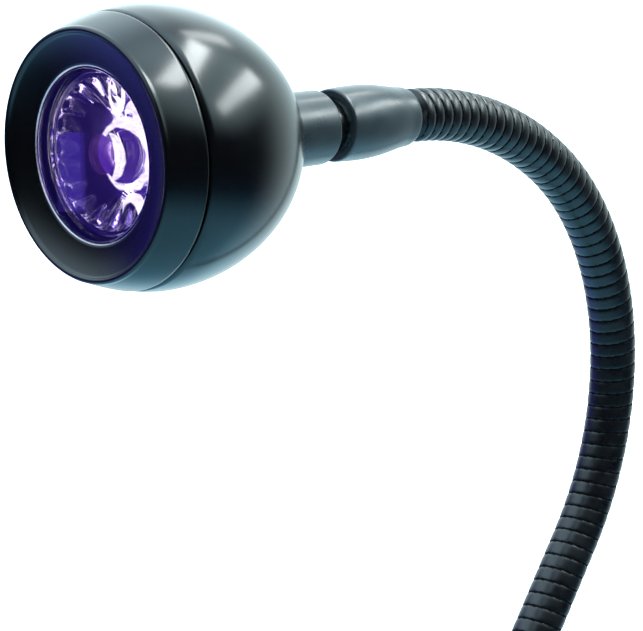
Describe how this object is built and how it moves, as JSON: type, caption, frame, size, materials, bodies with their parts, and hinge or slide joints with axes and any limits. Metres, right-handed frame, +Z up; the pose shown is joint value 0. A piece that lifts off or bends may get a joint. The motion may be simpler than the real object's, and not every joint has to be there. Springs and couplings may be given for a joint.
{
  "type": "uv curing lamp",
  "caption": "Ultraviolet curing lamp with a ball-shaped black head and violet lens, a bendable corrugated gooseneck, and a round weighted base with a push button.",
  "frame": {"origin": "centre of the base's flat underside, on the table", "axes": "+Z up; the gooseneck bends in the XZ plane; the lamp head looks along -X, and the power socket is at the base's +X edge"},
  "size_m": [0.1867, 0.11, 0.2702],
  "materials": {
    "black_anodised": "gloss",
    "black_hose": "satin",
    "base_coat": "satin",
    "bright_steel": "satin",
    "plain_aluminium": "satin",
    "ballast_iron": "matte",
    "plate_steel": "matte",
    "black_plastic": "satin",
    "soft_rubber": "matte",
    "violet_glass": "polished",
    "circuit_board": "satin",
    "lit_silicone": "gloss",
    "white_ceramic": "satin",
    "cable_jacket": "satin",
    "red_wire": "satin"
  },
  "bodies": {
    "base_body": {"base_sleeve": "black_anodised", "base_shell": "base_coat", "base_nipple": "bright_steel", "base_washer": "bright_steel", "base_lock_nut": "bright_steel", "button_ring": "bright_steel", "base_screw_1": "bright_steel", "base_screw_2": "bright_steel", "base_screw_3": "bright_steel", "base_screw_4": "bright_steel", "inlet_socket": "bright_steel", "ballast_disc": "ballast_iron", "bottom_plate": "plate_steel", "switch_body": "black_plastic", "inlet_tongue": "black_plastic", "non_slip_pad": "soft_rubber", "inlet_board": "circuit_board", "inlet_lead": "cable_jacket", "gooseneck_link_1": "black_hose", "cable_1": "cable_jacket"},
    "hose_2": {"gooseneck_link_2": "black_hose", "cable_2": "cable_jacket"},
    "hose_3": {"gooseneck_link_3": "black_hose", "cable_3": "cable_jacket"},
    "hose_4": {"gooseneck_link_4": "black_hose", "cable_4": "cable_jacket"},
    "hose_5": {"gooseneck_link_5": "black_hose", "cable_5": "cable_jacket"},
    "hose_6": {"gooseneck_link_6": "black_hose", "cable_6": "cable_jacket"},
    "lamp_head": {"gooseneck_link_7": "black_hose", "cable_7": "cable_jacket", "bezel_ring": "black_anodised", "head_shell": "black_anodised", "lens_window": "violet_glass", "lens_retaining_ring": "black_anodised", "seam_gasket": "soft_rubber", "collimator_lens": "violet_glass", "lens_holder": "black_plastic", "led_board": "plain_aluminium", "board_screw_a": "bright_steel", "board_screw_b": "bright_steel", "led_package": "white_ceramic", "led_dome": "lit_silicone", "thermal_pad": "soft_rubber", "heat_sink": "plain_aluminium", "driver_board": "circuit_board", "driver_coil": "ballast_iron", "driver_capacitor": "black_plastic", "driver_chip": "black_plastic", "driver_pillar_a": "bright_steel", "driver_pillar_b": "bright_steel", "led_wire_red": "red_wire", "led_wire_black": "cable_jacket", "neck_stub": "black_anodised", "neck_nipple": "bright_steel", "neck_ring": "black_plastic", "neck_sleeve": "black_anodised", "neck_lock_nut": "bright_steel"},
    "button": {"power_button": "black_anodised"}
  },
  "joints": [
    {"name": "bend_1_lean", "type": "hinge", "parent": "base_body", "child": "hose_2", "pos_m": [0.00523, 0, 0.08285], "axis": [0, 1, 0], "range_deg": [-20, 20]},
    {"name": "bend_2_side", "type": "hinge", "parent": "hose_2", "child": "hose_3", "pos_m": [0.02582, 0, 0.11372], "axis": [-0.7934, 0, 0.6088], "range_deg": [-25, 25]},
    {"name": "bend_3_lean", "type": "hinge", "parent": "hose_3", "child": "hose_4", "pos_m": [0.0445, 0, 0.14562], "axis": [0, 1, 0], "range_deg": [-25, 25]},
    {"name": "bend_4_side", "type": "hinge", "parent": "hose_4", "child": "hose_5", "pos_m": [0.04583, 0, 0.18242], "axis": [-0.9754, 0, -0.2205], "range_deg": [-25, 25]},
    {"name": "bend_5_nod", "type": "hinge", "parent": "hose_5", "child": "hose_6", "pos_m": [0.0288, 0, 0.21507], "axis": [0, 1, 0], "range_deg": [-30, 30]},
    {"name": "bend_6_turn", "type": "hinge", "parent": "hose_6", "child": "lamp_head", "pos_m": [-0.00186, 0, 0.23564], "axis": [-0.3745, 0, -0.9272], "range_deg": [-30, 30]},
    {"name": "button_press", "type": "slide", "parent": "base_body", "child": "button", "axis": [0, 0, -1], "range_m": [0, 0.0015], "stiffness_N_per_m": 1000, "springref_m": -0.001}
  ]
}
